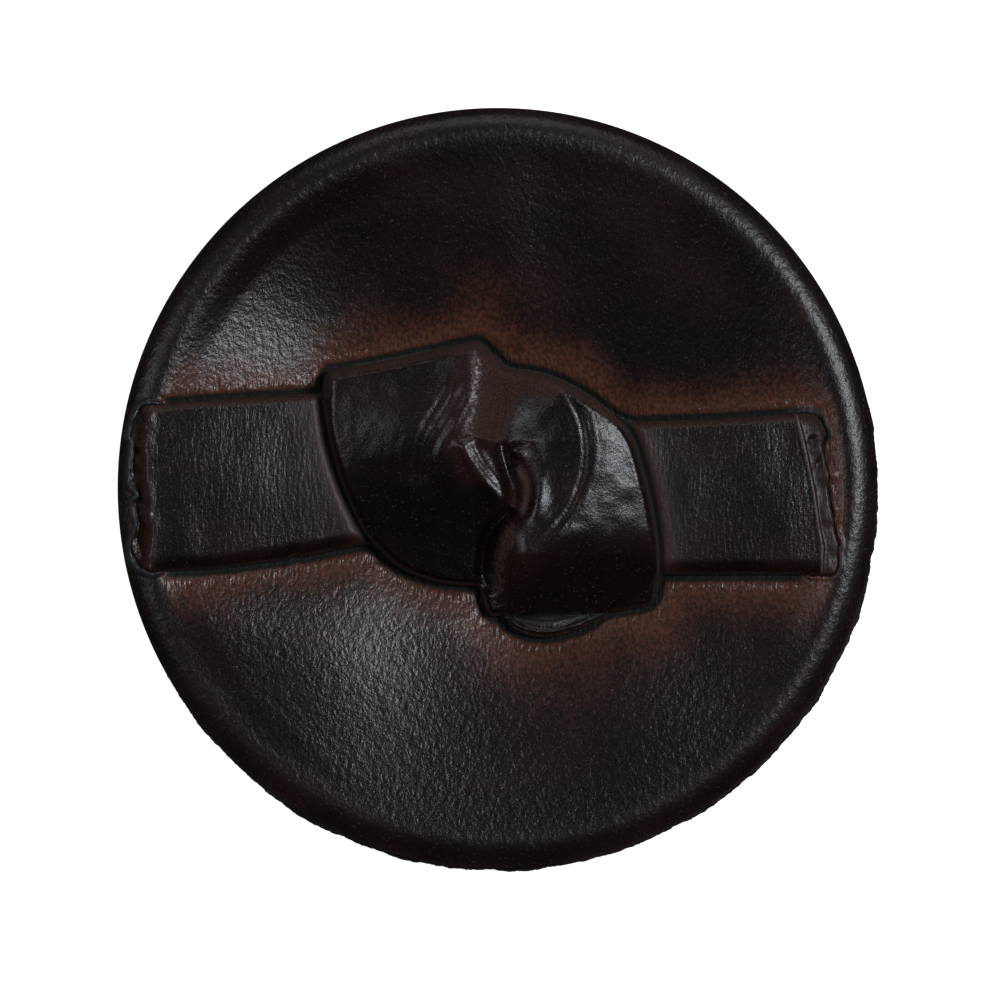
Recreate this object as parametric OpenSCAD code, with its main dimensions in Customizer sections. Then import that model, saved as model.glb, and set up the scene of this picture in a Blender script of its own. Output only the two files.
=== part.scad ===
// Large leather coat button with an overhand-knotted strap across its face.
// The face points to +Z, and the strap runs along X. The origin is the centre of the
// thread eye at the end of the wire shank, where the thread holds the button.

/* [Face disc] */
// Radius of the moulded face disc
face_r = 19; // [17:0.5:24]
// Thickness of the face leather under the strap
face_t = 1.4; // [1:0.1:2]
// Width of the rounded rim roll
rim_w = 1.7; // [1:0.1:2.4]
// Height of the rim roll above the dished face
rim_h = 0.9; // [0.4:0.1:1.6]

/* [Strap] */
// Width of the strap
strap_w = 8.2; // [6:0.1:9]
// Thickness of the strap
strap_t = 1.4; // [1:0.1:2]
// Outer face of the left end where it turns down into its slit, from the middle
left_turn = 17.7; // [16:0.1:18]
// Outer face of the right end where it turns down into its slit, from the middle
right_turn = 16.6; // [15.5:0.1:18]
// Shift of the right run off the middle line
right_shift = -0.4; // [-1:0.1:0]
// Length of each tail folded in under the face
tail_l = 6.5; // [4:0.5:7]

/* [Knot] */
// Height of the knot's two lobes above the face
knot_h = 3.3; // [2:0.1:4.5]
// Height of the strap's turn that shows below the lower lobe
turn_h = 1.6; // [1:0.1:2.4]
// Rounding of the lobes' top edges
knot_edge = 1.3; // [0.6:0.1:1.6]

/* [Back] */
// Thickness of the backing leather
back_t = 1.8; // [1.2:0.1:2.5]
// Sideways misfit of the backing disc under the face disc
back_shift_x = 0.1; // [0:0.05:0.2]
// Lengthways misfit of the backing disc under the face disc
back_shift_y = -0.2; // [-0.3:0.05:0]
// Gap round the sealed core
core_gap = 0.25; // [0.1:0.05:0.5]

/* [Shank] */
// Radius of the hole in the thread eye
eye_r = 2; // [1.5:0.1:2.5]
// Radius of the half-round wire
wire_r = 0.9; // [0.7:0.05:0.9]
// Gap between the two legs
leg_gap = 0.1; // [0.05:0.05:0.2]
// Length of each leg clinched over the anchor plate
clinch_l = 3; // [2:0.5:4]
// Radius of the pressed back washer
washer_r = 5.4; // [4.5:0.1:6]
// Height that the washer's crown stands proud of the back
washer_crown = 0.4; // [0.2:0.1:0.8]
// Depth of the recess that the washer is pressed into
washer_sink = 0.5; // [0.3:0.1:0.7]
// Radius of the inner anchor plate
plate_r = 5.2; // [4.5:0.1:6]
// Thickness of the inner anchor plate
plate_t = 0.5; // [0.4:0.1:0.5]

/* [Hidden] */

$fn = 96;
cut = 0.5;

// Levels, from the back up
back_z = eye_r + wire_r + washer_crown;
core_z = back_z + back_t;
under_z = core_z + strap_t;
face_z = under_z + face_t;

// Rim and core radii
rim_in = face_r - rim_w;
skirt_in = face_r - rim_w - 0.1;
core_r = skirt_in - core_gap;
core_hole_r = plate_r + 0.8;

// Strap
turn_r = 1.1;
slit_w = strap_w + 0.1;
run_in = 5;

// Shank
leg_out = leg_gap / 2 + wire_r;
leg_hole_r = leg_out + 0.03;
clinch_r = wire_r + 0.3;
bend_z = core_z + plate_t + wire_r - clinch_r;

// Colours
leather_dark = [0.16, 0.11, 0.10];
leather_strap = [0.22, 0.14, 0.12];
leather_raw = [0.45, 0.29, 0.17];
board = [0.52, 0.40, 0.28];
brass_old = [0.48, 0.38, 0.22];
steel = [0.55, 0.55, 0.55];

// Outlines of the knot's folds, seen on the face
lobe_upper = [[-8.5, 5.7], [-1, 7.5], [0.5, 6.1], [0.2, 3], [0.8, -1], [-0.8, -3],
              [-0.8, -4.9], [-2.7, -4.8], [-4.8, -4], [-6.5, -2.3], [-7.6, 0], [-8.4, 2.3]];
lobe_lower = [[0.6, 5.8], [4.2, 4.8], [6.1, 3.5], [7.6, -0.3], [8, -4.8], [7.6, -5.9],
              [5.4, -6.3], [-0.4, -6.5], [-0.9, -5], [0.6, -1.3], [0.1, 3]];
back_turn = [[0.3, -6.3], [5.2, -6], [4.9, -6.8], [2.3, -7.5], [0.6, -7.1]];

// One end of a face slit, cut through everything that the strap passes
module slit(turn, shift) {
    translate([turn - strap_t, shift - slit_w / 2, core_z - cut])
        cube([strap_t, slit_w, face_z + rim_h + 2 * cut - core_z]);
}

// Leather face: a dished floor inside a rounded rim, with a skirt round the core
module face_disc() {
    rim_mid = face_r - rim_w / 2;
    rim_arc = [for (a = [0:15:180]) [rim_mid + rim_w / 2 * cos(a), face_z + rim_h * sin(a)]];
    color(leather_dark)
        difference() {
            rotate_extrude()
                polygon(concat([[0, under_z], [skirt_in, under_z], [skirt_in, core_z],
                                [face_r - 0.2, core_z], [face_r, core_z + 0.2]],
                               rim_arc, [[0, face_z]]));
            slit(right_turn, right_shift);
            mirror([1, 0, 0]) slit(left_turn, 0);
        }
}

// Side view of one end of the strap: tail, turn through the slit, and run on the face
module strap_side(turn) {
    turn_z = face_z + strap_t - turn_r;
    translate([turn - tail_l, core_z]) square([tail_l, strap_t]);
    translate([turn - strap_t, core_z]) square([strap_t, turn_z - core_z]);
    translate([run_in, face_z]) square([turn - run_in - turn_r, strap_t]);
    intersection() {
        translate([turn - turn_r, turn_z]) circle(r = turn_r);
        translate([turn - turn_r, turn_z]) square(turn_r);
    }
}

module strap_end(turn, shift) {
    translate([0, shift + strap_w / 2, 0])
        rotate([90, 0, 0]) linear_extrude(strap_w) strap_side(turn);
}

// A flat fold with a rounded top edge
module fold(outline, height) {
    hull()
        for (step = [[0, 0.45], [0.25, 0.8], [1, 1]])
            translate([0, 0, face_z])
                linear_extrude(height * step[1])
                    offset(delta = -knot_edge * step[0] - 0.6) offset(r = 0.6, $fn = 32)
                        polygon(outline);
}

// The strap: one strip, knotted once, with both ends through the face
module knotted_strap() {
    color(leather_strap) {
        strap_end(right_turn, right_shift);
        mirror([1, 0, 0]) strap_end(left_turn, 0);
        fold(lobe_upper, knot_h);
        fold(lobe_lower, knot_h - 0.2);
        fold(back_turn, turn_h);
    }
}

// Leatherboard stiffener, notched for the strap's tails and open round the shank's clinch
module core_disc() {
    notch_w = strap_w + 2 * core_gap;
    color(board)
        translate([0, 0, core_z])
            difference() {
                cylinder(r = core_r, h = strap_t);
                translate([0, 0, -cut]) cylinder(r = core_hole_r, h = strap_t + 2 * cut);
                translate([right_turn - tail_l - core_gap, right_shift - notch_w / 2, -cut])
                    cube([face_r, notch_w, strap_t + 2 * cut]);
                translate([-left_turn + tail_l + core_gap - face_r, -notch_w / 2, -cut])
                    cube([face_r, notch_w, strap_t + 2 * cut]);
            }
}

// Leather backing, with the washer's recess and the hole for the shank's legs
module backing_disc() {
    color(leather_raw)
        difference() {
            translate([back_shift_x, back_shift_y, back_z]) cylinder(r = face_r, h = back_t);
            translate([0, 0, back_z - cut]) cylinder(r = washer_r + 0.1, h = washer_sink + cut);
            translate([0, 0, back_z - cut]) cylinder(r = leg_hole_r, h = back_t + 2 * cut);
        }
}

// Domed washer pressed into the back, which the eye's shoulders bear on
module back_washer() {
    flat_r = 1.8;
    edge_t = 0.3;
    crown_h = washer_crown + washer_sink - edge_t;
    crown = [for (a = [0:15:90])
             [flat_r + (washer_r - flat_r) * cos(a), washer_sink - edge_t - crown_h * sin(a)]];
    color(brass_old)
        translate([0, 0, back_z])
            rotate_extrude()
                polygon(concat([[leg_hole_r, washer_sink], [washer_r, washer_sink]],
                               crown, [[leg_hole_r, -washer_crown]]));
}

// Steel plate inside, which the legs are clinched over
module anchor_plate() {
    color(steel)
        translate([0, 0, core_z])
            difference() {
                cylinder(r = plate_r, h = plate_t);
                translate([0, 0, -cut])
                    cylinder(r = leg_gap / 2 + clinch_r + 0.05, h = plate_t + 2 * cut);
            }
}

// Half-round wire section, flat at x = 0
module half_wire() {
    intersection() {
        circle(r = wire_r, $fn = 48);
        translate([0, -wire_r]) square([wire_r, 2 * wire_r]);
    }
}

// One leg: straight through the back, then bent out flat over the anchor plate
module leg() {
    translate([leg_gap / 2, 0, 0]) linear_extrude(bend_z) half_wire();
    translate([leg_gap / 2 + clinch_r, 0, bend_z])
        rotate([90, 0, 0])
            rotate([0, 0, 90])
                rotate_extrude(angle = 90)
                    translate([clinch_r, 0]) mirror([1, 0]) half_wire();
    translate([leg_gap / 2 + clinch_r, 0, bend_z + clinch_r])
        rotate([0, 90, 0]) linear_extrude(clinch_l) half_wire();
}

// Shank of half-round wire: a round thread eye and two clinched legs
module shank_loop() {
    color(brass_old)
        difference() {
            union() {
                rotate([90, 0, 0])
                    rotate([0, 0, 105])
                        rotate_extrude(angle = 330) translate([eye_r, 0]) half_wire();
                leg();
                mirror([1, 0, 0]) leg();
            }
            rotate([90, 0, 0]) cylinder(r = eye_r, h = 2 * (wire_r + cut), center = true);
        }
}

face_disc();
knotted_strap();
core_disc();
backing_disc();
back_washer();
anchor_plate();
shank_loop();
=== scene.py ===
import math
import bmesh
import bpy
import numpy as np
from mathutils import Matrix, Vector
from mathutils.geometry import delaunay_2d_cdt


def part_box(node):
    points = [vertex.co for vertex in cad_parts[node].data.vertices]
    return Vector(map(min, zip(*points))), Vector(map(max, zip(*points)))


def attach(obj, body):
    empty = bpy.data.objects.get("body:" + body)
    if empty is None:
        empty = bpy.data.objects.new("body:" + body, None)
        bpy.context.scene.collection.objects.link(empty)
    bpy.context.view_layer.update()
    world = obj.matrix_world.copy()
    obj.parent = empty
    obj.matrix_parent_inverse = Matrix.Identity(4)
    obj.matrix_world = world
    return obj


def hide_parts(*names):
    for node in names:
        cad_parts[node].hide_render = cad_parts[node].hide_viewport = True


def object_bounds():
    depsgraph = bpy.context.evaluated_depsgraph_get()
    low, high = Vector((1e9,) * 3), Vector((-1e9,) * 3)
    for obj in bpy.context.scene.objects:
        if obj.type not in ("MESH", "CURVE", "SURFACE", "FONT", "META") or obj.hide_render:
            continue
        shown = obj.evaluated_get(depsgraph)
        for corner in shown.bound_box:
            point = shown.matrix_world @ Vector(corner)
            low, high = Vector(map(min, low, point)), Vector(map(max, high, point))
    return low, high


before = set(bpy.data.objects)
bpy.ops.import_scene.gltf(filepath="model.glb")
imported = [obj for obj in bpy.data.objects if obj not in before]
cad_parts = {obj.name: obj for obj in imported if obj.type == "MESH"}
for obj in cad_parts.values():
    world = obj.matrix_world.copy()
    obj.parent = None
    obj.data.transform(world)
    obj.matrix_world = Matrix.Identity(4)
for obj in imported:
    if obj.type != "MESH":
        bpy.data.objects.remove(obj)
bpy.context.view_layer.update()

# Lengths below are in millimetres. X runs along the strap, Y up the face and Z out of it.
MM = 0.001


def box_mm(node):
    low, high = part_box(node)
    return np.array(low) / MM, np.array(high) / MM


face_low, face_high = box_mm("face_disc")
back_low, back_high = box_mm("backing_disc")

FACE_R = (face_high[0] - face_low[0]) / 2
RIM_H = 0.9              # height of the rim roll above FACE_Z
LEATHER_T = 1.4          # thickness of the face leather
FACE_Z = face_high[2] - RIM_H
CORE_Z = face_low[2]
UNDER_Z = FACE_Z - LEATHER_T
BACK_Z = back_low[2]
BACK_MID = (back_low[:2] + back_high[:2]) / 2
BED = -1.05              # floor of the channel pressed under the strap, from FACE_Z
RUN_T = 1.0              # top of the strap's straight runs, from FACE_Z
EDGE_SINK = 0.22         # depth of the groove along the strap's edge, below the dish
CLEAR = 0.01             # gap between the tails and the layers round them
PICTURE_W = 50.05        # width of the camera's view at the face

# Outlines, as points (x, y) or (x, y, corner radius). A point with no radius is a smooth bend.
LEFT_LIP = [
    (-17.3, -4.22, 0.3), (-17.98, -3.86, 0.3), (-18.25, -3.42, 0.3), (-18.3, -2.91, 0.3),
    (-18.1, -2.4, 0.1), (-17.9, -1.8, 0.1), (-18.05, -1.3, 0.2), (-18.12, -0.65, 0.05),
    (-17.85, -0.5, 0.05), (-17.9, -0.2, 0.1), (-18.2, 0.1, 0.1), (-18.3, 0.54, 0.2),
    (-18.25, 1.35, 0.3), (-18.15, 2.08, 0.2), (-18.2, 2.5, 0.05), (-18.37, 2.6, 0.05),
    (-18.12, 3.33, 0.3), (-17.8, 4.1, 0.3),
]
RIGHT_LIP = [
    (15.3, 3.75, 0.3), (15.95, 3.68, 0.4), (16.3, 3.1, 0.3), (16.45, 2.74, 0.1), (16.22, 2.1, 0.1),
    (16.37, 1.5, 0.2), (16.42, 1.1, 0.1), (16.55, 0.65, 0.1), (16.5, 0.15, 0.1), (16.62, -0.7, 0.3),
    (16.78, -1.44, 0.2), (16.85, -2.1, 0.2), (17.05, -2.8, 0.1), (17.0, -3.2, 0.1), (17.05, -3.86, 0.2),
    (16.85, -4.4, 0.3),
]
STRAP_OUTLINE = LEFT_LIP + [
    (-13, 4.5), (-8.85, 4.75, 0.2), (-8.75, 5.1, 0.2), (-8.62, 5.85, 0.35), (-4.8, 6.55, 3),
    (-0.92, 7.45, 0.3), (0.5, 6.02, 0.3), (2.5, 5.75), (4.3, 4.9), (5.9, 3.65), (6.7, 3.3, 0.4), (12, 3.5),
] + RIGHT_LIP + [
    (12.8, -4.35), (8.15, -4.4, 0.3), (7.95, -5.85, 0.6), (5.4, -6.3, 0.5), (4.4, -7.05), (2.4, -7.6),
    (0.8, -7.2), (0.1, -6.5, 0.2), (-0.5, -6.4, 0.4), (-0.95, -4.95, 0.2), (-2.9, -4.85), (-5, -4.1),
    (-6.3, -2.85, 0.4), (-7.1, -2.95, 0.4), (-9.8, -3.5, 0.3), (-10.15, -3.42, 0.15), (-10.5, -3.65, 0.2),
    (-11.6, -3.75, 1), (-14, -4.1),
]
KNOT_OUTLINE = [
    (-8.62, 5.85, 0.3), (-4.8, 6.55, 3), (-0.92, 7.45, 0.3), (0.5, 6.02, 0.3), (2.5, 5.75), (4.3, 4.9),
    (5.9, 3.7), (6.8, 2.5), (7.6, -0.3), (8.05, -3), (8.05, -5, 1), (7.75, -6.0, 0.6), (5.4, -6.3, 3),
    (2, -6.5, 3), (-0.5, -6.45, 0.4), (-0.95, -4.95, 0.2), (-2.9, -4.85), (-5, -4.1), (-6.6, -2.4),
    (-7.7, 0), (-8.4, 2.3), (-8.8, 5, 1),
]
BACK_TURN_OUTLINE = [
    (0.1, -5.0, 0.3), (0.1, -6.4, 0.3), (0.9, -7.25), (2.4, -7.62), (4.3, -7.1), (5.5, -6.3, 0.4),
    (5.5, -5.0, 0.3),
]
LEFT_SLIT = LEFT_LIP + [(-16.9, 4.1, 0.1), (-16.9, -4.15, 0.1)]
RIGHT_SLIT = RIGHT_LIP + [(15.6, -4.35, 0.1), (14.9, 3.6, 0.1)]
LEFT_LEG = [(-17.75, -3.75, 0.2), (-17.75, 3.75, 0.2), (-17.0, 3.95, 0.2), (-17.0, -3.95, 0.2)]
RIGHT_LEG = [(15.35, 3.3, 0.2), (16.05, 3.3, 0.2), (16.05, 2.0, 0.2), (16.5, -4.1, 0.2), (15.85, -4.1, 0.2)]
LEFT_TAIL = [
    (-17.8, -3.85, 0.2), (-17.8, 3.85, 0.2), (-16.9, 4.0, 0.2), (-16.6, 3.8, 0.3), (-16, 4.05, 0.3),
    (-11.2, 4.05, 0.3), (-11.2, -4.05, 0.3), (-16, -4.05, 0.3), (-16.6, -3.8, 0.3), (-16.9, -4.0, 0.2),
]
RIGHT_TAIL = [(16.1, 3.4, 0.2), (16.55, -4.2, 0.2), (10.1, -4.2, 0.3), (10.1, 3.4, 0.3)]
LEFT_BEND = [(-17.2, 4.0), (-17.3, 3.0), (-17.4, 1.2), (-17.22, -0.7), (-17.1, -1.9), (-17.2, -4.0)]
RIGHT_BEND = [
    (14.88, 3.75), (15.2, 2.59), (15.46, 1.35), (15.75, -0.05), (16.04, -2.03), (16.22, -2.98),
    (16.15, -4.4),
]


# ---------------------------------------------------------------- curves and distances

def circle(radius, count):
    return np.array([(radius * math.cos(a), radius * math.sin(a))
                     for a in np.linspace(0, 2 * math.pi, count, endpoint=False)])


def curve(points, closed=True, step=0.12):
    """A fine polyline through rounded corners, evenly spaced."""
    at = [np.array(p[:2], float) for p in points]
    radius = [p[2] if len(p) > 2 else 99 for p in points]
    n = len(at)
    line = []
    for i in range(n):
        if not closed and i in (0, n - 1):
            line.append(at[i])
            continue
        before, here, after = at[i - 1], at[i], at[(i + 1) % n]
        arm = min(radius[i], np.linalg.norm(before - here) / 2, np.linalg.norm(after - here) / 2)
        start = here + (before - here) / np.linalg.norm(before - here) * arm
        end = here + (after - here) / np.linalg.norm(after - here) * arm
        for t in np.linspace(0, 1, 9):
            line.append((1 - t) ** 2 * start + 2 * t * (1 - t) * here + t * t * end)
    if closed:
        line.append(line[0])
    line = np.array(line)
    along = np.r_[0, np.cumsum(np.linalg.norm(np.diff(line, axis=0), axis=1))]
    count = max(2, int(round(along[-1] / step)))
    where = np.linspace(0, along[-1], count + 1)
    even = np.column_stack([np.interp(where, along, line[:, k]) for k in (0, 1)])
    return even[:-1] if closed else even


def nearest(places, line, closed):
    """Distance to a polyline, which side each place is on (+ is left), and how far along, 0 to 1."""
    a = line if closed else line[:-1]
    b = np.roll(line, -1, axis=0) if closed else line[1:]
    ab = b - a
    size = (ab ** 2).sum(1)
    best = np.empty(len(places))
    side = np.empty(len(places))
    along = np.empty(len(places))
    for start in range(0, len(places), 8000):
        p = places[start:start + 8000]
        dot = p @ ab.T - (a * ab).sum(1)
        gap = (p ** 2).sum(1)[:, None] - 2 * p @ a.T + (a ** 2).sum(1)
        t = np.clip(dot / size, 0, 1)
        far = gap - t * (2 * dot - t * size)
        k = far.argmin(1)
        rows = np.arange(len(p))
        best[start:start + 8000] = np.sqrt(np.maximum(far[rows, k], 0))
        ap = p - a[k]
        side[start:start + 8000] = np.sign(ab[k, 0] * ap[:, 1] - ab[k, 1] * ap[:, 0])
        along[start:start + 8000] = (k + t[rows, k]) / len(ab)
    return best, side, along


def inside(places, loop):
    """Which places are inside a closed loop."""
    x, y = places[:, 0], places[:, 1]
    hit = np.zeros(len(places), bool)
    for (x0, y0), (x1, y1) in zip(loop, np.roll(loop, -1, axis=0)):
        if y0 != y1:
            crosses = (y0 > y) != (y1 > y)
            hit ^= crosses & (x < (x1 - x0) * (y - y0) / (y1 - y0) + x0)
    return hit


def beside(places, loop, reach):
    """1 on a loop, falling to 0 at about twice the reach, and smooth round its corners."""
    gap = np.linalg.norm(loop[1] - loop[0])
    out = np.empty(len(places))
    for start in range(0, len(places), 8000):
        p = places[start:start + 8000]
        far = (p ** 2).sum(1)[:, None] - 2 * p @ loop.T + (loop ** 2).sum(1)
        out[start:start + 8000] = np.exp(-far / reach ** 2).sum(1)
    return np.minimum(out * gap / (reach * math.sqrt(math.pi)), 1)


def depth_in(places, loop):
    """Signed distance to a closed loop, positive inside."""
    far = nearest(places, loop, True)[0]
    return np.where(inside(places, loop), far, -far)


def ease(t):
    t = np.clip(t, 0, 1)
    return t * t * (3 - 2 * t)


def roll_off(d, width):
    """A quarter-round edge: 0 at d = 0, full height from d = width inwards."""
    f = np.clip(d / width, 0, 1)
    return np.sqrt(1 - (1 - f) ** 2)


def value_noise(x, y, size, seed):
    """Smooth noise from -1 to 1, with features about `size` across."""
    table = np.random.default_rng(seed).uniform(-1, 1, (64, 64))
    u, v = x / size, y / size
    i, j = np.floor(u).astype(int), np.floor(v).astype(int)
    fu, fv = ease(u - i), ease(v - j)
    i, j, i1, j1 = i % 64, j % 64, (i + 1) % 64, (j + 1) % 64
    low = table[i, j] * (1 - fu) + table[i1, j] * fu
    high = table[i, j1] * (1 - fu) + table[i1, j1] * fu
    return low * (1 - fv) + high * fv


def stroke(places, points, amount, left, right, fade=0.2):
    """A ridge (or, with a negative amount, a valley) along a curve, with its own width each side."""
    line = curve(points, closed=False, step=0.25)
    reach = 2.5 * max(left, right)
    near = np.all((places > line.min(0) - reach) & (places < line.max(0) + reach), axis=1)
    far, side, along = nearest(places[near], line, False)
    width = np.where(side > 0, left, right)
    ends = ease(along / fade) * ease((1 - along) / fade)
    out = np.zeros(len(places))
    out[near] = amount * ends * np.exp(-(far / width) ** 2)
    return out


def ripples(places, points, amount, gap, reach):
    """Fine wrinkles that run alongside a curve, on both sides of it."""
    line = curve(points, closed=False, step=0.25)
    far, side, along = nearest(places, line, False)
    ends = ease(along / 0.3) * ease((1 - along) / 0.3)
    uneven = 0.7 + 0.3 * value_noise(places[:, 0], places[:, 1], 0.7, 21)
    phase = far * side / gap + 0.3 * value_noise(places[:, 0], places[:, 1], 1.1, 22)
    return amount * ends * uneven * np.sin(phase * 2 * math.pi) * np.exp(-(far / reach) ** 2)


def swell(places, x, y, wide, tall, amount, turn=0):
    """A soft round swelling or hollow."""
    c, s = math.cos(math.radians(turn)), math.sin(math.radians(turn))
    dx, dy = places[:, 0] - x, places[:, 1] - y
    u, v = (c * dx + s * dy) / wide, (c * dy - s * dx) / tall
    return amount * np.exp(-u * u - v * v)


# ---------------------------------------------------------------- meshes

def scatter(low, high, gap, seed):
    """Places in a slightly shaken triangular lattice."""
    rows = np.arange(low[1], high[1], gap * math.sqrt(3) / 2)
    out = []
    for k, y in enumerate(rows):
        x = np.arange(low[0] + (k % 2) * gap / 2, high[0], gap)
        out.append(np.column_stack([x, np.full(len(x), y)]))
    out = np.vstack(out)
    return out + np.random.default_rng(seed).uniform(-0.12, 0.12, out.shape) * gap


def offset_rows(loop, distances):
    """Copies of a closed loop moved sideways (+ is to the left of its direction)."""
    rows = []
    for d in distances:
        ahead = np.roll(loop, -1, axis=0) - np.roll(loop, 1, axis=0)
        normal = np.column_stack([-ahead[:, 1], ahead[:, 0]])
        normal /= np.linalg.norm(normal, axis=1)[:, None]
        moved = loop + normal * d
        keep = nearest(moved, loop, True)[0] > abs(d) * 0.93
        rows.append(moved[keep])
    return rows


def fill(loops, free=()):
    """Triangles over the area inside loops[0] and outside the other loops, through the free places."""
    places, edges = [], []
    for loop in loops:
        n = len(places)
        places += [Vector(p) for p in loop]
        edges += [(n + k, n + (k + 1) % len(loop)) for k in range(len(loop))]
    count = len(places)
    places += [Vector(p) for p in free]
    found = delaunay_2d_cdt(places, edges, [], 0, 1e-6)
    flat = np.array([tuple(v) for v in found[0]])
    index = np.full(count, -1)
    for new, olds in enumerate(found[3]):
        for old in olds:
            if old < count:
                index[old] = new
    faces = np.array(found[2])
    mid = flat[faces].mean(1)
    keep = inside(mid, loops[0])
    for hole in loops[1:]:
        keep &= ~inside(mid, hole)
    faces = faces[keep]
    rings, n = [], 0
    for loop in loops:
        rings.append(index[n:n + len(loop)])
        n += len(loop)
    return flat, faces, rings


class Shell:
    """Collects the vertices and faces of one closed mesh."""

    def __init__(self):
        self.points, self.faces = [], []

    def add(self, points):
        start = sum(len(p) for p in self.points)
        self.points.append(np.asarray(points, float))
        return start

    def sheet(self, flat, z, faces, up=True):
        start = self.add(np.column_stack([flat, z]))
        a, b, c = (flat[faces[:, k]] for k in range(3))
        turn = (b[:, 0] - a[:, 0]) * (c[:, 1] - a[:, 1]) - (b[:, 1] - a[:, 1]) * (c[:, 0] - a[:, 0])
        wrong = (turn > 0) != up
        faces = faces.copy()
        faces[wrong] = faces[wrong][:, ::-1]
        self.faces += (faces + start).tolist()
        return start

    def wall(self, top, bottom):
        """Quads from one ring of indices down to the next. Rings run anticlockwise seen from above."""
        for k in range(len(top)):
            m = (k + 1) % len(top)
            self.faces.append([top[k], bottom[k], bottom[m], top[m]])

    def build(self, name, masks=None):
        mesh = bpy.data.meshes.new(name)
        points = np.vstack(self.points)
        mesh.from_pydata((points * MM).tolist(), [], self.faces)
        used = np.zeros(len(points), bool)
        used[np.concatenate([np.array(f) for f in self.faces])] = True
        for key, value in (masks(points) if masks else {}).items():
            layer = mesh.attributes.new(key, "FLOAT", "POINT")
            layer.data.foreach_set("value", value.astype(np.float32))
        mesh.update()
        mesh.validate()
        mesh.shade_smooth()
        piece = bpy.data.objects.new(name, mesh)
        bpy.context.scene.collection.objects.link(piece)
        if not used.all():
            strip_loose(mesh)
        return piece


def strip_loose(mesh):
    """Removes the vertices that no face uses."""
    bm = bmesh.new()
    bm.from_mesh(mesh)
    bmesh.ops.delete(bm, geom=[v for v in bm.verts if not v.link_faces], context="VERTS")
    bm.to_mesh(mesh)
    bm.free()


def anticlockwise(loop):
    x, y = loop[:, 0], loop[:, 1]
    area = (x * np.roll(y, -1) - np.roll(x, -1) * y).sum()
    return loop if area > 0 else loop[::-1]


strap_loop = anticlockwise(curve(STRAP_OUTLINE))
knot_loop = anticlockwise(curve(KNOT_OUTLINE))
turn_loop = anticlockwise(curve(BACK_TURN_OUTLINE))
left_slit = anticlockwise(curve(LEFT_SLIT, step=0.1))
right_slit = anticlockwise(curve(RIGHT_SLIT, step=0.1))


def slit_depth(p):
    """Signed distance to the nearer slit, positive inside it."""
    return np.maximum(depth_in(p, left_slit), depth_in(p, right_slit))


# ---------------------------------------------------------------- heights

ARC = [(2.2, 6.2), (3.8, 4.4), (4.35, 2.6), (4.4, 0.9), (3.8, -0.8), (2.7, -2.3), (0.8, -4.0)]
CREST = ARC[:-1] + [(0.9, -3.9), (-0.6, -5.0), (-2.5, -6.6)]
FAN = [(-1.4, 5.9), (-2.5, 3.8), (-3.4, 2.2), (-3.7, 0.8), (-3.6, -1.0)]


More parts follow.
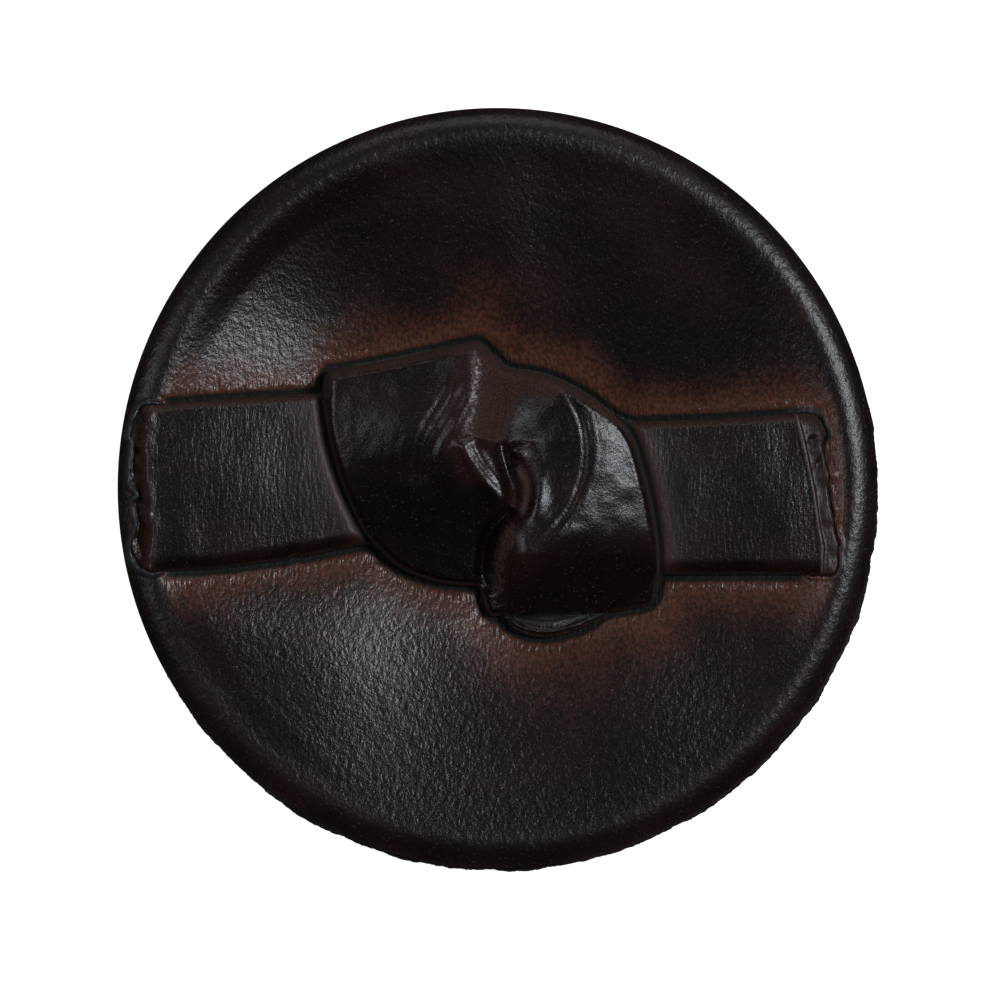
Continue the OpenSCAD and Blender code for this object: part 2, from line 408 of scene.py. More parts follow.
def knot_height(p):
    """Top of the knot above the face, away from its edges."""
    d = depth_in(p, knot_loop)
    x, y = p[:, 0], p[:, 1]
    # Upper lobe: highest at its right, falling to the left and to the bottom
    upper = 1.8 + swell(p, -0.8, 5.5, 7.0, 7.5, 0.7) + swell(p, -4.1, 2.5, 3.0, 2.3, 0.38)
    upper -= 1.0 * ease((1.5 - y) / 7.5)
    # Lower lobe: a hood to the left of the arc, a skirt falling to its right, and a fall to the bottom
    arc = curve(CREST, closed=False, step=0.25)[::-1]
    arc_x = np.interp(y, arc[:, 1], arc[:, 0])
    skirt = 0.25 * np.log1p(np.exp(np.clip((x - arc_x - 0.4) / 0.25, -30, 30)))
    lower = 2.85 + 0.1 * x - 0.28 * skirt - 0.16 * np.maximum(arc_x, 1.6) - 0.95 * ease((-1.8 - y) / 5.5)
    across = ease((x - 0.1 + 0.08 * y) / 2.2 + 0.5)
    z = upper * (1 - across) + lower * across
    carve = np.zeros(len(p))
    # Valley between the two lobes, open at the top and tight below
    carve += stroke(p, [(0.5, 8.2), (0.4, 5.4), (0.3, 4.2), (0.1, 2.9), (0.2, 1.9)], -0.42, 1.3, 0.8, 0.05)
    carve += stroke(p, [(0.5, 7.0), (0.2, 5.2), (0.35, 4.3), (0.1, 2.8), (-0.3, 2.1)],
                    -0.12, 0.14, 0.14, 0.1)
    carve += stroke(p, [(0.1, 2.4), (0.35, 1.2), (0.75, 0), (0.9, -1.1)], -0.75, 0.35, 0.25, 0.15)
    carve += stroke(p, [(0.9, -0.9), (-0.2, -1.8), (-0.75, -3), (-0.8, -5.4)], -0.95, 0.5, 0.22, 0.1)
    # Ridge of the upper lobe, running down into the beak at the twist
    carve += stroke(p, [(-1.1, 8.2), (-1.35, 5.2), (-1.7, 2.9), (-1.3, 1.3), (-0.4, 0.1), (0.7, -1.0)],
                    0.2, 1.2, 1.6, 0.06)
    carve += stroke(p, [(-1.9, 2.5), (-1.35, 1.2), (-0.6, 0.1), (0.5, -0.9)], 0.26, 0.95, 0.3, 0.12)
    # Folds that fan out on its left
    carve += stroke(p, FAN, -0.14, 0.5, 0.7, 0.3)
    carve += ripples(p, FAN, 0.03, 0.5, 1.2)
    # Two small pleats on the beak
    carve += stroke(p, [(-1.6, 2.6), (-1.1, 1.5), (-0.5, 0.7), (0.3, -0.2)], -0.07, 0.12, 0.12, 0.2)
    carve += stroke(p, [(-1.0, 2.2), (-0.6, 1.4), (0.0, 0.6), (0.6, -0.3)], -0.05, 0.1, 0.1, 0.2)
    # Lip over the twist, the hollow inside it, and a strand in the hollow
    carve += stroke(p, [(0.1, 2.15), (0.9, 1.85), (1.6, 1.2), (1.95, 0.2), (1.9, -0.9), (1.5, -2.0)],
                    0.26, 0.5, 0.22, 0.3)
    carve += swell(p, 1.2, 0.0, 0.65, 1.5, -0.6, -12)
    carve += stroke(p, [(0.8, 1.0), (1.35, 0.3), (1.3, -0.5), (1.0, -1.4)], 0.3, 0.18, 0.18, 0.3)
    # A fine crease on the inside of the arc, with smaller ones beside it
    carve += stroke(p, ARC, -0.05, 0.12, 0.16, 0.25)
    carve += ripples(p, ARC, 0.01, 0.4, 1.1)
    carve *= ease((d + 0.1) / 0.7)
    carve += 0.022 * value_noise(x, y, 0.8, 31) * ease(d / 0.5)
    carve += 0.008 * value_noise(x, y, 0.35, 32) * ease(d / 0.5)
    return z + carve


def past(places, line, direction):
    """Signed distance beyond a bend line, positive towards the strap's end."""
    at = np.interp(places[:, 1], [q[1] for q in line][::-1], [q[0] for q in line][::-1])
    return direction * (places[:, 0] - at)


def strap_height(p):
    """Top of the whole strap above the face."""
    d = depth_in(p, strap_loop)
    x, y = p[:, 0], p[:, 1]
    # The straight runs: tight along the upper edge, rounder along the lower one
    low_edge = ease((-1.2 - y) / 1.5)
    width = 0.3 + 0.5 * low_edge
    left, right = past(p, LEFT_BEND, -1), past(p, RIGHT_BEND, 1)
    run = RUN_T * np.ones(len(p)) + 0.08 * np.cos(y * 0.5)
    run += 0.3 * ease((np.abs(x) - 7.5) / 8)
    run += 0.03 * value_noise(x, y * 0.5, 1.2, 3) * ease((d - 0.3) / 0.6)
    # Left end: a soft bend, then a glossy slope down to the slit's lip
    run += 0.02 * np.exp(-(left / 0.2) ** 2) * (1 + value_noise(x, y, 0.6, 43))
    run -= 0.85 * ease((left - 0.02) / 0.85)
    run += 0.16 * value_noise(x, y * 0.7, 0.3, 41) * ease(left / 0.25)
    run += 0.05 * value_noise(x, y, 0.15, 44) * ease(left / 0.25)
    # Right end: a hard crease, a dented strip, and the slit's edge
    run += 0.05 * np.exp(-(right / 0.07) ** 2)
    run -= 0.24 * ease((right + 0.01) / 0.12) + 0.04 * np.clip(0.6 - right, 0, 0.6)
    run -= 0.05 * value_noise(x * 0.8, y, 0.5, 42) * ease((right - 0.1) / 0.2)
    run += swell(p, 15.7, 2.37, 0.14, 0.2, -0.35) + swell(p, 16.02, 1.2, 0.12, 0.3, -0.25, -20)
    run += swell(p, 16.45, 0.65, 0.25, 0.33, 0.4)
    ends = np.maximum(ease(left / 0.1), ease(right / 0.1))
    bed = dished(p) - EDGE_SINK
    run = bed + (run - bed) * ease((y + 4.9) / 0.5) * ease((5.2 - y) / 0.5)
    sides = bed + (run - bed) * roll_off(d, width)
    z = sides * (1 - ends) + np.minimum(run, bed + (run - bed) * roll_off(d, 0.12)) * ends
    # The turn behind the lower lobe
    t = depth_in(p, turn_loop)
    turn = bed + (0.9 - bed) * roll_off(np.clip(t, 0, 9), 0.35)
    k = depth_in(p, knot_loop)
    turn += 0.12 * np.cos((np.clip(t, 0, 9) - 0.3) / 0.45 * math.pi * 2) * ease(t / 0.2) * ease(-k / 0.2)
    z = np.where(t > 0, np.maximum(z, turn), z)
    # The knot stands on them
    wall = 0.4 + 0.2 * ease((y - 3) / 1.5)
    over = knot_height(p)
    groove = -0.35 * np.exp(-(np.clip(-k, 0, 9) / 0.26) ** 2) * ease(d / 0.3)
    base = z + groove * (k <= 0)
    z = np.where(k > 0, np.maximum(base, base + (over - base) * roll_off(k, wall)), base)
    free = np.maximum(1 - ease((np.abs(d - k) - 0.03) / 0.3), t > 0) * (k > 0)
    z += free * (bed + (over - bed) * roll_off(k, wall) - z)
    return z


def dished(p):
    """Top of the face above FACE_Z without the strap's channel: a dish inside a round rim roll."""
    x, y = p[:, 0], p[:, 1]
    r = np.hypot(x, y)
    dish = RIM_H * (np.minimum(r, FACE_R) / (FACE_R - 1.3)) ** 2.5
    dish += slow_waves(p) * ease((17.8 - r) / 2)
    roll = 1.06 * RIM_H * np.sqrt(np.clip(1 - ((np.maximum(r, 17.1) - 17.1) / (FACE_R - 17.1)) ** 2, 0, 1))
    soft = 0.07
    z = -soft * np.log(np.exp(-dish / soft) + np.exp(-roll / soft))
    # Shoulder where the strap was pressed in
    depth = 0.2 - 0.12 * ease((np.abs(x) - 8) / 4)
    return z - depth * beside(p, strap_loop, 1.3) * ease((17.8 - r) / 1.6)


def face_height(p):
    """Top of the face disc above FACE_Z, with the channel under the strap."""
    d = -depth_in(p, strap_loop)
    z = dished(p)
    slit = slit_depth(p)
    at_lip = np.exp(-(np.clip(-slit, 0, 9) / 0.45) ** 2)
    edge = z - EDGE_SINK * (1 - ease((d + 0.04) / 0.46))
    raised = 0.1 + 0.08 * value_noise(p[:, 0], p[:, 1], 0.5, 45) + 0.05 * (p[:, 0] < 0)
    lip = z + raised * np.exp(-((slit + 0.15) / 0.13) ** 2) + swell(p, 16.7, 0.65, 0.3, 0.33, 0.25)
    return np.where(d > -0.03, edge * (1 - at_lip) + lip * at_lip, BED)


def slow_waves(p):
    """The slow waves of the hand-moulded face."""
    z = swell(p, 3.0, 2.5, 13.0, 8.0, -0.85, -15)       # sunk round the strap
    z += swell(p, -8.6, 9.2, 5.6, 6.0, -0.55, 20)       # hollow to the upper left
    z += swell(p, 0.3, 12.5, 1.6, 4.0, 0.12)            # faint crease above the knot
    z += swell(p, -9.0, -8.3, 4.4, 4.8, 0.36, 15)       # hump to the lower left
    z += swell(p, -14.0, -6.8, 3.0, 2.2, 0.2)           # small bulge below the left end
    z += swell(p, 7.0, -10.5, 4.5, 4.2, 0.25)           # hump to the lower right
    return z


# ---------------------------------------------------------------- pieces

def make_strap():
    rows = offset_rows(strap_loop, [0.012, 0.035, 0.075, 0.13, 0.2, 0.29, 0.4, 0.54])
    rows += offset_rows(knot_loop, [-0.3, -0.18, -0.09, -0.02, 0.02, 0.06, 0.12, 0.2, 0.3, 0.42])
    for bend in (LEFT_BEND, RIGHT_BEND):
        line = curve(bend, closed=False, step=0.09)
        rows += [line + (shift, 0) for shift in (-0.16, -0.09, -0.04, 0.0, 0.04, 0.09, 0.16)]
    rows = [row[depth_in(row, strap_loop) > 0.008] for row in rows]
    field = scatter((-18, -8), (17.2, 8), 0.125, 5)
    d = depth_in(field, strap_loop)
    k = np.abs(depth_in(field, knot_loop))
    bend = np.minimum(np.abs(past(field, LEFT_BEND, -1)), np.abs(past(field, RIGHT_BEND, 1)))
    field = field[(d > 0.6) & (k > 0.42) & (bend > 0.2)]
    flat, faces, rings = fill([strap_loop], np.vstack(rows + [field]))
    z = FACE_Z + strap_height(flat)
    z[rings[0]] = FACE_Z + dished(flat[rings[0]]) - EDGE_SINK
    shell = Shell()
    top = shell.sheet(flat, z, faces)
    # Underside on the face, then each end through its slit and folded in under the face
    legs = [anticlockwise(curve(leg, step=0.2)) for leg in (LEFT_LEG, RIGHT_LEG)]
    ground, below, low_rings = fill([strap_loop] + legs)
    bottom = shell.sheet(ground, np.full(len(ground), FACE_Z + BED), below, up=False)
    shell.wall(rings[0] + top, low_rings[0] + bottom)
    for leg, outline, ring in zip(legs, (LEFT_TAIL, RIGHT_TAIL), low_rings[1:]):
        tail = anticlockwise(curve(outline, step=0.2))
        ground, upper, upper_rings = fill([tail, leg])
        upper_start = shell.sheet(ground, np.full(len(ground), UNDER_Z - CLEAR), upper)
        shell.wall(ring + bottom, upper_rings[1] + upper_start)
        ground, lower, lower_rings = fill([tail])
        lower_start = shell.sheet(ground, np.full(len(ground), CORE_Z + CLEAR), lower, up=False)
        shell.wall(upper_rings[0] + upper_start, lower_rings[0] + lower_start)
    return shell.build("knotted_strap", strap_masks)


def strap_masks(points):
    """Where the strap is rubbed, unfinished or folded, with painted shade on its lower lobes and painted
    highlights and a painted lit band along its creases and upper edges, from 0 to 1.
    """
    p = points[:, :2]
    x, y = p[:, 0], p[:, 1]
    d = depth_in(p, strap_loop)
    k = depth_in(p, knot_loop)
    on_knot = (k > 0).astype(float)
    edge = np.exp(-np.clip(d, 0, 9) / 0.3)
    fold = np.exp(-np.abs(k) / np.where(k > 0, 0.12, 0.9)) * ease((y + 6.6) / 0.8)
    groove = np.exp(-((np.abs(k + 0.1)) / 0.22) ** 4) * (k < 0)
    # Painted light: a tan band along the upper edges only, where they face the top lamp; the strokes below
    # mark unfinished tan leather
    raw_and_lit_edge = np.exp(-(np.clip(d, 0, 9) / (0.4 + 0.15 * on_knot)) ** 4) * ease((y - 1.5) / 1.5)
    raw_and_lit_edge += stroke(p, [(0.0, 7.8), (0.1, 5.4), (0.0, 4.0), (-0.5, 2.2)], 1.0, 1.0, 1.25, 0.05)
    raw_and_lit_edge += stroke(p, [(0.7, 5.9), (2.2, 5.3), (3.4, 4.8)], 0.85, 1.0, 1.2, 0.2)
    raw_and_lit_edge += swell(p, 1.3, 0.1, 0.8, 1.7, 0.9, -12)
    raw_and_lit_edge += stroke(p, [(1.0, -1.5), (0.3, -2.6), (-0.1, -4.0), (-0.2, -5.8)], 0.7, 0.6, 0.4, 0.2)
    ridge = stroke(p, [(-0.9, 7.4), (-1.3, 5.2), (-1.75, 3.0), (-1.7, 2.0)], 1.0, 0.8, 0.9, 0.06)
    worn = stroke(p, [(-1.0, 6.8), (-1.4, 4.0), (-1.5, 1.8), (-0.4, 0.2)], 0.9, 1.2, 1.3, 0.1)
    worn += swell(p, 0.9, -3.4, 1.8, 2.2, 0.6)
    worn += swell(p, -3.0, 4.6, 2.6, 2.4, 0.3)
    # Painted shade: the lower parts of both lobes and the hood are darkened where they face away from the
    # lamps
    painted_shade = on_knot * ease((2.2 - y) / 3) * ease((0.6 - x) / 1.0)
    painted_shade += on_knot * 0.6 * ease((-2.5 - y) / 1.5) * ease(x / 1.0)
    painted_shade += swell(p, 2.6, 2.6, 1.3, 2.4, 0.6)
    left, right = past(p, LEFT_BEND, -1), past(p, RIGHT_BEND, 1)
    # Painted highlight: a light tan line along the right end's crease and, fainter, along the left bend
    painted_highlight = np.exp(-(right / 0.05) ** 2) + 0.12 * np.exp(-(left / 0.16) ** 2)
    ends = np.maximum(ease(left / 0.15), 0.6 * ease(right / 0.15))
    return {"edge": edge, "fold": fold, "groove": groove, "painted_highlight": painted_highlight, "ends": ends,
            "painted_shade": np.clip(painted_shade, 0, 1), "strip": ease(right / 0.15), "ridge": ridge,
            "knob": swell(p, 16.4, 0.65, 0.28, 0.36, 1.0), "raw_and_lit_edge": np.clip(raw_and_lit_edge, 0, 1),
            "worn": np.clip(worn, 0, 1) * on_knot, "knot": on_knot}


def make_face():
    outer = circle(FACE_R, 960)
    rows = []
    for inset in (0.012, 0.04, 0.09, 0.16, 0.25, 0.36, 0.49, 0.64, 0.8):
        rows.append(outer * (FACE_R - inset) / FACE_R)
    rows += offset_rows(strap_loop, [0.04, 0.02, -0.05, -0.12, -0.2, -0.29, -0.4, -0.53])
    for slit in (left_slit, right_slit):
        rows += offset_rows(slit, [-0.05, -0.12, -0.22])
    rows = np.vstack(rows)
    rows = rows[(slit_depth(rows) < -0.04) & (np.hypot(rows[:, 0], rows[:, 1]) < FACE_R - 0.01)]
    field = scatter((-19, -19), (19, 19), 0.155, 7)
    r = np.hypot(field[:, 0], field[:, 1])
    d = -depth_in(field, strap_loop)
    field = field[(r < FACE_R - 0.92) & (d > 0.6) & (slit_depth(field) < -0.28)]
    # Under the strap the mesh is coarse, because nothing of it shows
    hidden = scatter((-19, -9), (19, 9), 0.8, 8)
    hidden = hidden[(-depth_in(hidden, strap_loop) < -0.4) & (slit_depth(hidden) < -0.35)]
    flat, faces, rings = fill([outer, left_slit, right_slit], np.vstack([rows, field, hidden]))
    z = FACE_Z + face_height(flat)
    z[rings[0]] = FACE_Z
    shell = Shell()
    top = shell.sheet(flat, z, faces)
    # The underside, stepped down to a skirt round the core
    coarse = scatter((-19, -19), (19, 19), 2.0, 9)
    keep = (np.hypot(coarse[:, 0], coarse[:, 1]) < 16) & (np.abs(coarse[:, 1]) > 5)
    skirt = np.vstack([circle(r, 240) for r in (17.12, 17.28)])
    skirt = skirt[slit_depth(skirt) < -0.1]
    ground, below, low_rings = fill([outer, left_slit, right_slit], np.vstack([coarse[keep], skirt]))
    low_z = np.where(np.hypot(ground[:, 0], ground[:, 1]) > 17.2, CORE_Z, UNDER_Z)
    bottom = shell.sheet(ground, low_z, below, up=False)
    # The outer wall, slightly barrelled
    upper = rings[0] + top
    for drop, bulge in ((0.5, 0.0), (1.2, -0.02), (1.7, 0.0), (2.3, 0.03), (2.7, 0.03)):
        ring = outer * (FACE_R + bulge) / FACE_R
        start = shell.add(np.column_stack([ring, np.full(len(ring), FACE_Z - drop)]))
        lower = np.arange(len(ring)) + start
        shell.wall(upper, lower)
        upper = lower
    shell.wall(upper, low_rings[0] + bottom)
    for k in (1, 2):
        shell.wall((rings[k] + top)[::-1], (low_rings[k] + bottom)[::-1])
    return shell.build("face_disc", face_masks)


def face_masks(points):
    """Where the face is rubbed, grooved, raised or cut, and where its raised slit lips carry a painted
    sheen, from 0 to 1.
    """
    p = points[:, :2]
    d = -depth_in(p, strap_loop)
    r = np.hypot(p[:, 0], p[:, 1])
    left, right = -depth_in(p, left_slit), -depth_in(p, right_slit)
    groove = (1 - ease((d - 0.12) / 0.4)) * ease((left - 0.3) / 0.3)
    groove *= 1 - 0.85 * np.exp(-(right / 0.5) ** 2) * ease((2.8 - p[:, 1]) / 1.2)
    return {"strap_near": np.exp(-np.clip(d, 0, 30) / 1.6) * (1 - ease((r - 17.0) / 0.8)),
            "groove": groove,
            "fringe": np.exp(-(np.clip(d - 0.3, 0, 30) / 0.45) ** 2) * ease((17.6 - r) / 0.6),
            "rim": ease((r - 17.0) / 0.8),
            "lip": np.exp(-((left - 0.14) / 0.16) ** 2) + 0.9 * np.exp(-((right - 0.03) / 0.05) ** 2),
            "knob": swell(p, 16.6, 0.65, 0.3, 0.33, 1.0) * (r < 18),
            "cut": ease((FACE_Z - 1.6 - points[:, 2]) / 0.4)}


def make_backing():
    """A flat disc with the washer's recess and the legs' hole, and a ragged cut edge."""
    spokes = 1080
    angles = np.linspace(0, 2 * math.pi, spokes, endpoint=False)
    rng = np.random.default_rng(11)
    rough = np.zeros(spokes)
    for size, amount in ((30, 0.07), (110, 0.09), (420, 0.06)):
        knots = rng.uniform(-1, 1, size) ** 3
        where = np.arange(spokes) / spokes * size
        rough += amount * np.interp(where, np.arange(size + 1), np.r_[knots, knots[0]])
    shell = Shell()
    rings = []
    leg_hole = 0.98
    recess = 5.5
    # Each ring's radius, its height above the back, and how ragged it is
    layout = [(leg_hole, 0.5, 0), (recess - 0.02, 0.5, 0), (recess, 0.48, 0), (recess + 0.05, 0.08, 0),
              (recess + 0.3, 0.0, 0), (8, 0, 0), (11, 0, 0), (14, 0, 0), (17, 0, 0), (18.2, 0, 0),
              (18.8, 0.06, 1), (18.95, 0.25, 1), (19.0, 0.7, 1), (19.0, 1.2, 1), (18.97, 1.6, 1),
              (18.85, 1.79, 1), (17, 1.8, 0), (12, 1.8, 0), (6, 1.8, 0), (leg_hole, 1.8, 0)]
    for r, h, ragged in layout:
        wide = r + (rough + 0.12) * ragged
        jitter = 0.02 * rng.uniform(-1, 1, spokes) * ragged
        mid = BACK_MID * ease(np.clip((r - 6) / 10, 0, 1))
        ring = np.column_stack([mid[0] + (wide + jitter) * np.cos(angles),
                                mid[1] + (wide + jitter) * np.sin(angles),
                                np.full(spokes, BACK_Z + h)])
        rings.append(np.arange(spokes) + shell.add(ring))
    for a, b in zip(rings, rings[1:] + rings[:1]):
        shell.wall(b, a)
    return shell.build("backing_disc")


# ---------------------------------------------------------------- materials

class Nodes:
    """A short way to write node materials."""

    def __init__(self, name):
        self.material = bpy.data.materials.new(name)
        self.material.use_nodes = True
        self.tree = self.material.node_tree
        self.tree.nodes.clear()
        self.shader = self.add("ShaderNodeBsdfPrincipled")
        out = self.add("ShaderNodeOutputMaterial")
        self.tree.links.new(self.shader.outputs[0], out.inputs[0])

    def add(self, kind, links=None, **settings):
        node = self.tree.nodes.new(kind)
        for key, value in settings.items():
            setattr(node, key, value)
        for socket, value in (links or {}).items():
            self.put(node.inputs[socket], value)
        return node

    def put(self, socket, value):
        if isinstance(value, bpy.types.NodeSocket):
            self.tree.links.new(value, socket)
        else:
            socket.default_value = value

    def math(self, operation, a, b=0.0, c=0.0):
        node = self.add("ShaderNodeMath", operation=operation)
        for socket, value in zip(node.inputs, (a, b, c)):
            self.put(socket, value)
        return node.outputs[0]

    def mix(self, amount, a, b):
        node = self.add("ShaderNodeMix", data_type="RGBA")
        self.put(node.inputs["Factor"], amount)
        self.put(node.inputs["A"], a)
        self.put(node.inputs["B"], b)
        return node.outputs["Result"]

    def mask(self, name):
        return self.add("ShaderNodeAttribute", attribute_name=name).outputs["Fac"]

    def spread(self, value, low, high, to_low=0.0, to_high=1.0):
        node = self.add("ShaderNodeMapRange", interpolation_type="SMOOTHSTEP")
        for socket, v in zip(node.inputs, (value, low, high, to_low, to_high)):
            self.put(socket, v)
        return node.outputs[0]

    def places(self, stretch=(1, 1, 1), turn=0.0):
        """Object coordinates in millimetres, stretched."""
        where = self.add("ShaderNodeTexCoord").outputs["Object"]
        node = self.add("ShaderNodeMapping", {"Vector": where})
        node.inputs["Scale"].default_value = [s / MM for s in stretch]
        node.inputs["Rotation"].default_value = (0, 0, turn)
        return node.outputs[0]

    def noise(self, scale, detail=2, stretch=(1, 1, 1), turn=0.0, rough=0.5):
        node = self.add("ShaderNodeTexNoise", {"Vector": self.places(stretch, turn), "Scale": scale,
                                               "Detail": detail, "Roughness": rough})
        return node.outputs["Fac"]

    def pebbles(self, scale, stretch=(1, 1, 1), turn=0.0):
        node = self.add("ShaderNodeTexVoronoi", {"Vector": self.places(stretch, turn), "Scale": scale},
                        feature="DISTANCE_TO_EDGE")
        return node.outputs["Distance"]

    def bump(self, height, strength, distance, under=None):
        links = {"Height": height, "Strength": strength, "Distance": distance * MM}
        if under is not None:
            links["Normal"] = under
        return self.add("ShaderNodeBump", links).outputs[0]

    def finish(self, **sockets):
        for name, value in sockets.items():
            self.put(self.shader.inputs[name.replace("_", " ")], value)
        return self.material


def rgb(*c):
    return (*c, 1)


def face_leather():
    n = Nodes("face_leather")
    fine = n.noise(14, 2)
    grain = n.noise(5.2, 3, (1.15, 0.85, 1), 0.2)
    pores = n.noise(2.2, 2, (1.1, 0.9, 1), 0.3)
    fringe = n.noise(3.2, 1, (1.7, 0.4, 1))
    cloud = n.noise(0.22, 3)
    base = n.mix(n.spread(cloud, 0.35, 0.7), rgb(0.0075, 0.0034, 0.0034), rgb(0.017, 0.0072, 0.0064))
    halo = n.math("ADD", n.mask("strap_near"), n.math("MULTIPLY", n.math("SUBTRACT", cloud, 0.5), 0.6))
    halo = n.math("ADD", halo, n.math("MULTIPLY", n.math("SUBTRACT", grain, 0.5), 0.4))
    base = n.mix(n.spread(halo, 0.06, 0.7), base, rgb(0.135, 0.048, 0.027))
    base = n.mix(n.spread(grain, 0.62, 0.4, 0.0, 0.45), base, rgb(0.01, 0.005, 0.005))
    base = n.mix(n.spread(n.noise(9, 0), 0.72, 0.82, 0.0, 0.6), base, rgb(0.11, 0.065, 0.05))
    base = n.mix(n.spread(n.mask("groove"), 0.2, 0.9), base, rgb(0.018, 0.02, 0.018))
    # Painted sheen: the raised slit lips are tinted a light bluish grey that stands for their gloss
    base = n.mix(n.mask("lip"), base, rgb(0.03, 0.031, 0.034))
    base = n.mix(n.mask("knob"), base, rgb(0.12, 0.07, 0.06))
    base = n.mix(n.mask("cut"), base, rgb(0.16, 0.11, 0.075))
    normal = n.bump(pores, 0.5, 0.05)
    normal = n.bump(grain, 0.5, 0.042, normal)
    normal = n.bump(fringe, n.mask("fringe"), 0.11, normal)
    normal = n.bump(fringe, n.mask("lip"), 0.1, normal)
    normal = n.bump(fine, 0.5, 0.012, normal)
    rough = n.math("ADD", n.spread(fine, 0.2, 0.8, 0.23, 0.3), n.math("MULTIPLY", n.mask("groove"), 0.3))
    rough = n.math("ADD", rough, n.math("MULTIPLY", n.mask("rim"), 0.05))
    return n.finish(Base_Color=base, Roughness=rough, Normal=normal, Specular_IOR_Level=0.5)


def strap_leather():
    n = Nodes("strap_leather")
    fine = n.noise(14, 2)
    grain = n.noise(6.5, 3)
    streak = n.noise(3.2, 3, (1.8, 0.45, 1), 0.1)
    cloud = n.noise(0.35, 2)
    base = n.mix(n.spread(cloud, 0.35, 0.7), rgb(0.0075, 0.0036, 0.0036), rgb(0.017, 0.0075, 0.0065))
    # Painted shade on the lower parts of the lobes and on the hood
    base = n.mix(n.mask("painted_shade"), base, rgb(0.0045, 0.0019, 0.0018))
    base = n.mix(n.spread(n.mask("worn"), 0.1, 1.0), base, rgb(0.03, 0.012, 0.0095))
    base = n.mix(n.spread(n.mask("fold"), 0.15, 0.95), base, rgb(0.085, 0.036, 0.026))
    base = n.mix(n.mask("ridge"), base, rgb(0.028, 0.0085, 0.006))
    base = n.mix(n.spread(n.mask("edge"), 0.4, 0.95), base, rgb(0.045, 0.019, 0.014))
    # Tan of unfinished leather, which also paints the lit band along the upper edges
    speck = n.math("ADD", n.mask("raw_and_lit_edge"), n.math("MULTIPLY", n.math("SUBTRACT", grain, 0.5), 1.1))
    speck = n.spread(speck, 0.25, 0.9)
    raw_and_lit_edge = n.mix(n.spread(fine, 0.35, 0.65), rgb(0.026, 0.009, 0.006), rgb(0.08, 0.034, 0.023))
    base = n.mix(speck, base, raw_and_lit_edge)
    base = n.mix(n.spread(n.noise(9, 0), 0.72, 0.82, 0.0, 0.6), base, rgb(0.11, 0.065, 0.05))
    base = n.mix(n.spread(n.mask("groove"), 0.1, 0.8), base, rgb(0.016, 0.018, 0.016))
    base = n.mix(n.mask("ends"), base, rgb(0.036, 0.016, 0.012))
    base = n.mix(n.mask("knob"), base, rgb(0.12, 0.07, 0.06))
    # Painted highlight along the end creases
    base = n.mix(n.mask("painted_highlight"), base, rgb(0.17, 0.1, 0.08))
    runs = n.math("SUBTRACT", 1.0, n.mask("knot"))
    normal = n.bump(streak, n.math("MULTIPLY", runs, 0.5), 0.05)
    normal = n.bump(grain, 0.5, 0.028, normal)
    normal = n.bump(grain, speck, 0.1, normal)
    normal = n.bump(fine, 0.5, 0.011, normal)
    rough = n.math("ADD", n.spread(fine, 0.2, 0.8, 0.24, 0.31), n.math("MULTIPLY", speck, 0.62))
    rough = n.math("ADD", rough, n.math("MULTIPLY", n.mask("strip"), 0.12))
    rough = n.math("ADD", rough, n.math("MULTIPLY", n.mask("fold"), 0.35))
    rough = n.math("ADD", rough, n.math("MULTIPLY", n.mask("groove"), 0.3))
    return n.finish(Base_Color=base, Roughness=rough, Normal=normal, Specular_IOR_Level=0.5)


def raw_leather():
    n = Nodes("backing_leather")
    fibre = n.noise(6, 4)
    cloud = n.noise(0.6, 3)
    base = n.mix(n.spread(cloud, 0.3, 0.7), rgb(0.007, 0.005, 0.005), rgb(0.03, 0.017, 0.012))
    normal = n.bump(fibre, 0.7, 0.08)
    return n.finish(Base_Color=base, Roughness=0.75, Normal=normal)


def metal(name, colour, tarnish, rough):
    n = Nodes(name)
    stain = n.noise(0.9, 4)
    fine = n.noise(12, 2)
    base = n.mix(n.spread(stain, 0.4, 0.65), rgb(*colour), rgb(*tarnish))
    return n.finish(Base_Color=base, Metallic=1.0, Roughness=n.spread(stain, 0.3, 0.7, rough, rough + 0.2),
                    Normal=n.bump(fine, 0.2, 0.01))


def board():
    n = Nodes("leatherboard")
    fibre = n.noise(3, 5)
    base = n.mix(fibre, rgb(0.22, 0.13, 0.07), rgb(0.36, 0.24, 0.15))
    return n.finish(Base_Color=base, Roughness=0.85, Normal=n.bump(fibre, 0.5, 0.05))


def dress(node, material):
    """Gives a CAD node that stays in the picture its material."""
    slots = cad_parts[node].data.materials
    slots.clear()
    slots.append(material)


# ---------------------------------------------------------------- the object

strap = make_strap()
face = make_face()
backing = make_backing()
for piece, node, slot, material in (
        (strap, "knotted_strap", "strap_leather", strap_leather()),
        (face, "face_disc", "face_leather", face_leather()),
        (backing, "backing_disc", "backing_leather", raw_leather())):
    piece.data.materials.append(material)
    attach(piece, "root")
    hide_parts(node)

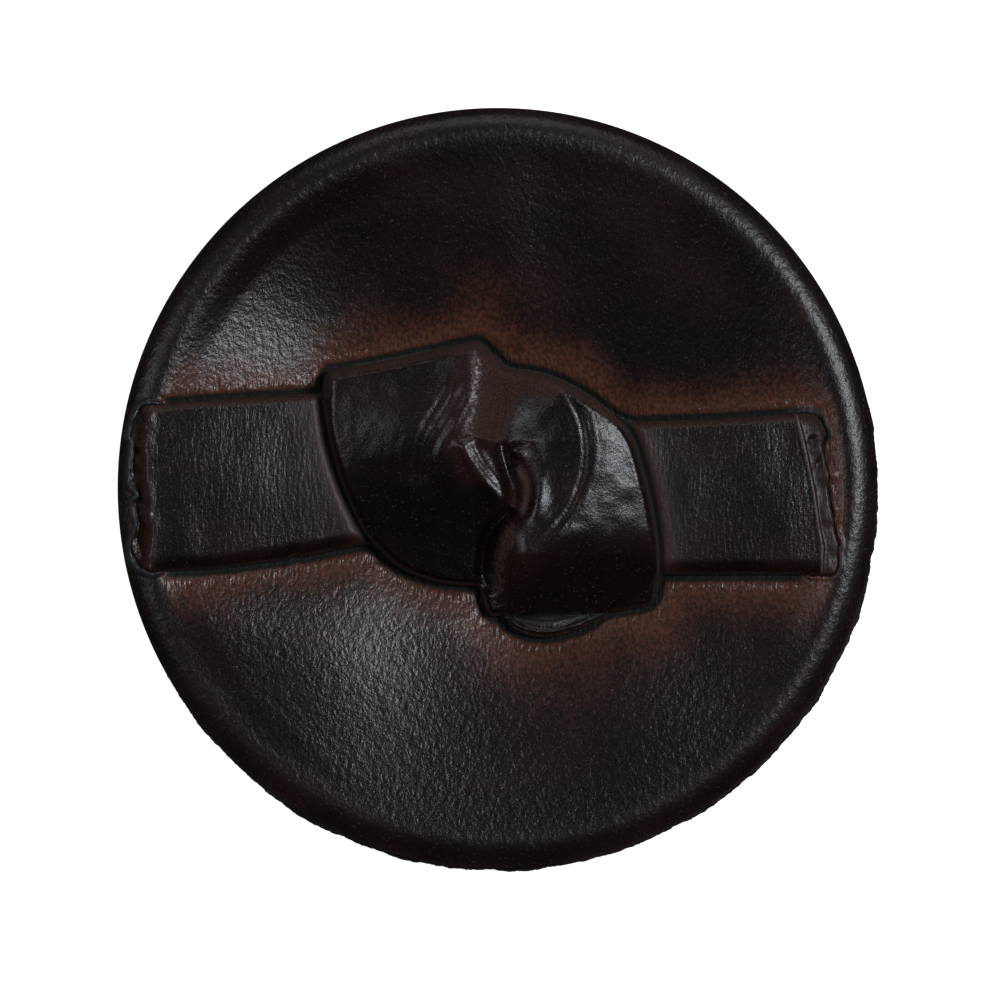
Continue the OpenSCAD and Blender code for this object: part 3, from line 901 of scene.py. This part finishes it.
dress("core_disc", board())
dress("back_washer", metal("washer_brass", (0.42, 0.3, 0.15), (0.16, 0.11, 0.06), 0.3))
dress("anchor_plate", metal("plate_steel", (0.45, 0.45, 0.46), (0.3, 0.29, 0.28), 0.35))
dress("shank_loop", metal("wire_brass", (0.45, 0.33, 0.17), (0.18, 0.12, 0.06), 0.28))


# ---------------------------------------------------------------- studio

def make_floor():
    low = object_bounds()[0][2]
    mesh = bpy.data.meshes.new("floor")
    s = 1.5
    mesh.from_pydata([(-s, -s, low), (s, -s, low), (s, s, low), (-s, s, low)], [], [(0, 1, 2, 3)])
    floor = bpy.data.objects.new("floor", mesh)
    bpy.context.scene.collection.objects.link(floor)
    n = Nodes("floor")
    mesh.materials.append(n.finish(Base_Color=rgb(0.9, 0.9, 0.9), Roughness=0.9,
                                   Emission_Color=rgb(1, 1, 1), Emission_Strength=1.0))
    floor.visible_glossy = False


def make_light(name, place, size, power, colour):
    data = bpy.data.lights.new(name, "AREA")
    data.shape = "RECTANGLE"
    data.size, data.size_y = size
    data.energy = power
    data.color = colour
    light = bpy.data.objects.new(name, data)
    light.location = place
    light.rotation_euler = (Vector((0, 0, FACE_Z * MM)) - Vector(place)).to_track_quat("-Z", "Y").to_euler()
    bpy.context.scene.collection.objects.link(light)


def make_camera():
    width = PICTURE_W * MM
    data = bpy.data.cameras.new("camera")
    data.lens = 300
    data.sensor_width = 36
    data.clip_start = 0.005
    camera = bpy.data.objects.new("camera", data)
    camera.location = (0.15 * MM, -0.635 * MM, FACE_Z * MM + width * data.lens / data.sensor_width)
    bpy.context.scene.collection.objects.link(camera)
    bpy.context.scene.camera = camera


make_floor()
make_light("left_box", (-0.36, 0.04, 0.44), (0.16, 0.3), 0.35, (0.86, 0.93, 1.0))
make_light("right_box", (0.27, 0.08, 0.53), (0.1, 0.2), 1.3, (0.94, 0.97, 1.04))
make_light("top_box", (0.0, 0.45, 0.36), (0.4, 0.2), 0.33, (1.0, 0.98, 0.96))
world = bpy.data.worlds.new("studio")
world.use_nodes = True
world.node_tree.nodes["Background"].inputs["Color"].default_value = rgb(0.9, 0.95, 1.0)
world.node_tree.nodes["Background"].inputs["Strength"].default_value = 0.02
bpy.context.scene.world = world
bpy.context.scene.view_settings.view_transform = "Standard"
make_camera()
